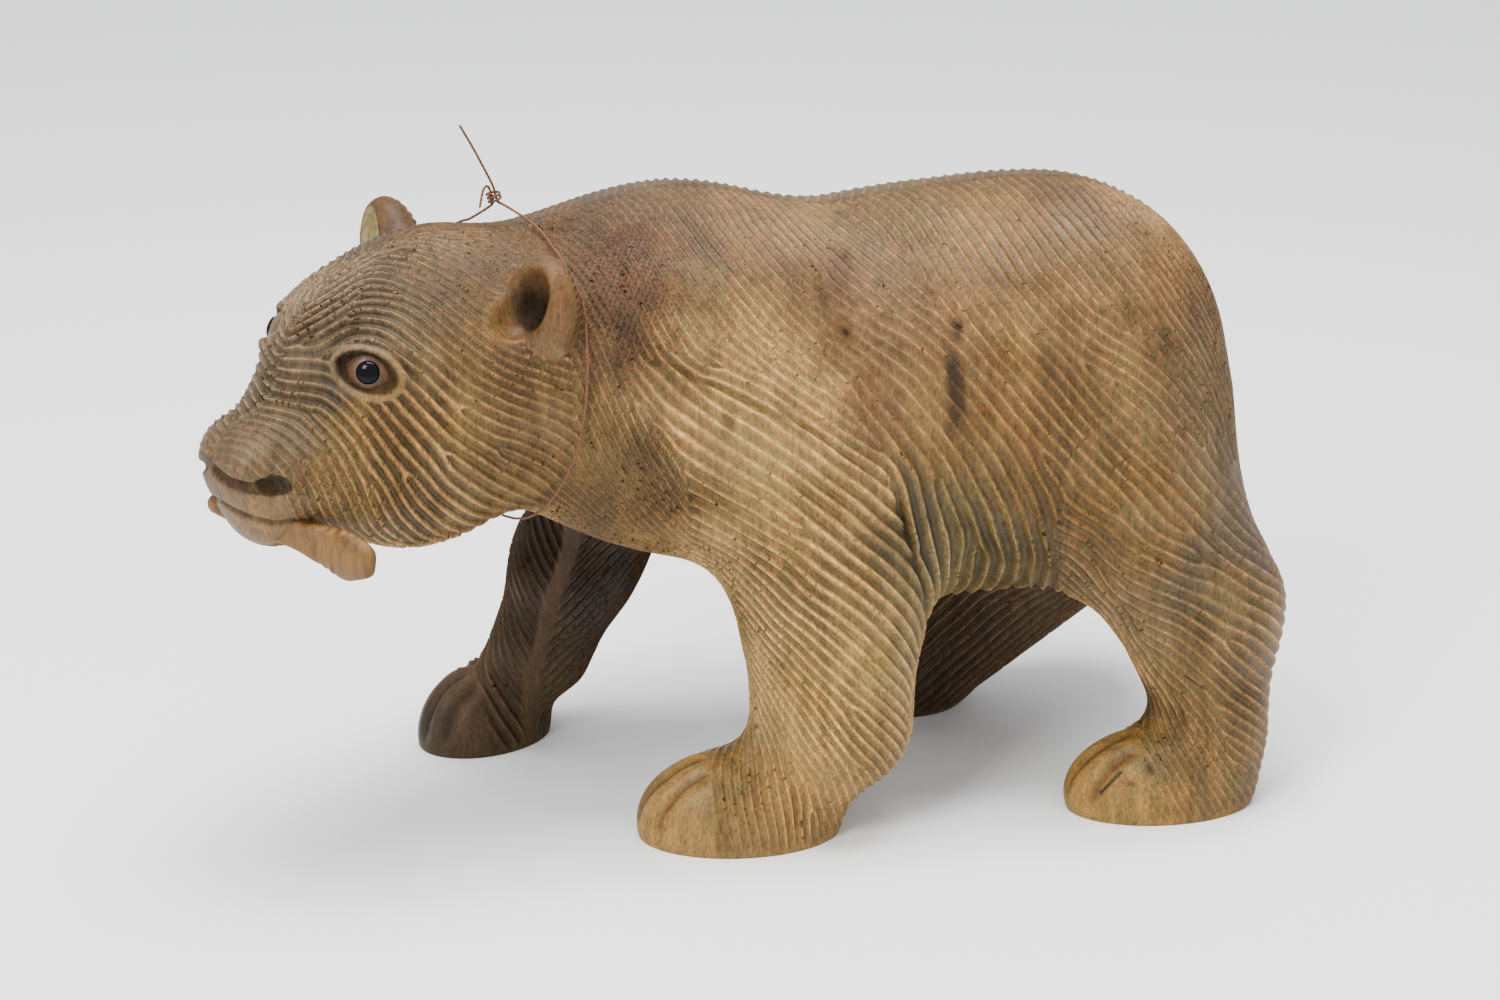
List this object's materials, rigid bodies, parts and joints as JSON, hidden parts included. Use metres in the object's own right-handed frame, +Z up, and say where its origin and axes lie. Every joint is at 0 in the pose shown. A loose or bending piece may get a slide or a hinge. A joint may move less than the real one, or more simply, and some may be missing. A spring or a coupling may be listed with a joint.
{
  "type": "carved wooden figurine",
  "caption": "Hand-carved wooden bear walking with its head turned and a fish in its jaws, with bead eyes and a twine string around its neck.",
  "frame": {"origin": "middle of the bear's footprint, at the level of the soles", "axes": "+Z up, -X the way the bear walks, -Y its left side"},
  "size_m": [0.3225, 0.1364, 0.2132],
  "materials": {
    "carved_wood": "oiled, semi-gloss",
    "black_glass": "polished",
    "fish_wood": "smooth, satin",
    "twine": "matt"
  },
  "bodies": {
    "root": {"Carved_Body": "carved_wood", "Eye_Left": "black_glass", "Eye_Right": "black_glass", "Fish": "fish_wood", "Neck_String": "twine", "String_Knot": "twine"}
  },
  "joints": []
}
